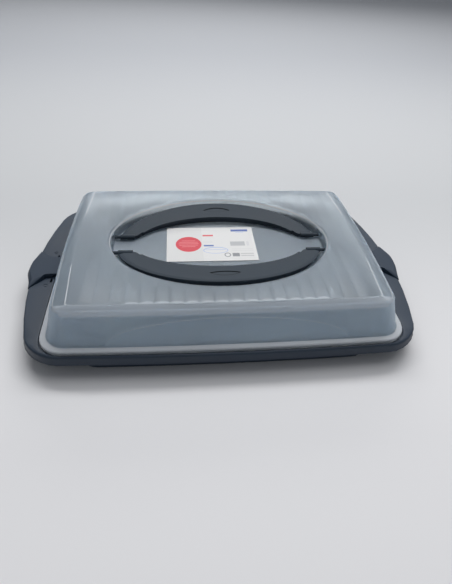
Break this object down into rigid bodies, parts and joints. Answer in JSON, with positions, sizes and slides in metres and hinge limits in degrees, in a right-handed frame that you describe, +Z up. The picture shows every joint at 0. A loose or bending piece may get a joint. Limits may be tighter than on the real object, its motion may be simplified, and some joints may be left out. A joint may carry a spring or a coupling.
{
  "type": "cake carrier",
  "caption": "Rectangular cake carrier: low tray with bulging wings and two rocker clips, frosted ribbed lid with an oval recess that holds two folding handles.",
  "frame": {"origin": "centre of the bounding box, on the surface that the tray's foot stands on", "axes": "+Z up, +X along the tray's length towards a clip, +Y towards the back as seen in the picture"},
  "size_m": [0.459, 0.2934, 0.0721],
  "materials": {
    "tray": "satin slate grey polypropylene",
    "lid": "frosted translucent polypropylene",
    "handles": "satin slate grey polypropylene",
    "clips": "satin slate grey polypropylene",
    "card": "smooth white card"
  },
  "bodies": {
    "tray": {"tray": "tray"},
    "lid": {"lid": "lid", "label_card": "card"},
    "handle_back": {"handle_back": "handles"},
    "handle_front": {"handle_front": "handles"},
    "clip_left": {"clip_left": "clips"},
    "clip_right": {"clip_right": "clips"}
  },
  "joints": [
    {"name": "lid_lift", "type": "slide", "parent": "tray", "child": "lid", "axis": [0, 0, 1], "range_m": [0, 0.12]},
    {"name": "handle_back_fold", "type": "hinge", "parent": "lid", "child": "handle_back", "pos_m": [0, 0.016, 0.0619], "axis": [1, 0, 0], "range_deg": [0, 93]},
    {"name": "handle_front_fold", "type": "hinge", "parent": "lid", "child": "handle_front", "pos_m": [0, -0.016, 0.0619], "axis": [-1, 0, 0], "range_deg": [0, 93]},
    {"name": "clip_left_rock", "type": "hinge", "parent": "tray", "child": "clip_left", "pos_m": [-0.204, 0, 0.0225], "axis": [0, -1, 0], "range_deg": [0, 30]},
    {"name": "clip_right_rock", "type": "hinge", "parent": "tray", "child": "clip_right", "pos_m": [0.204, 0, 0.0225], "axis": [0, 1, 0], "range_deg": [0, 30]}
  ]
}
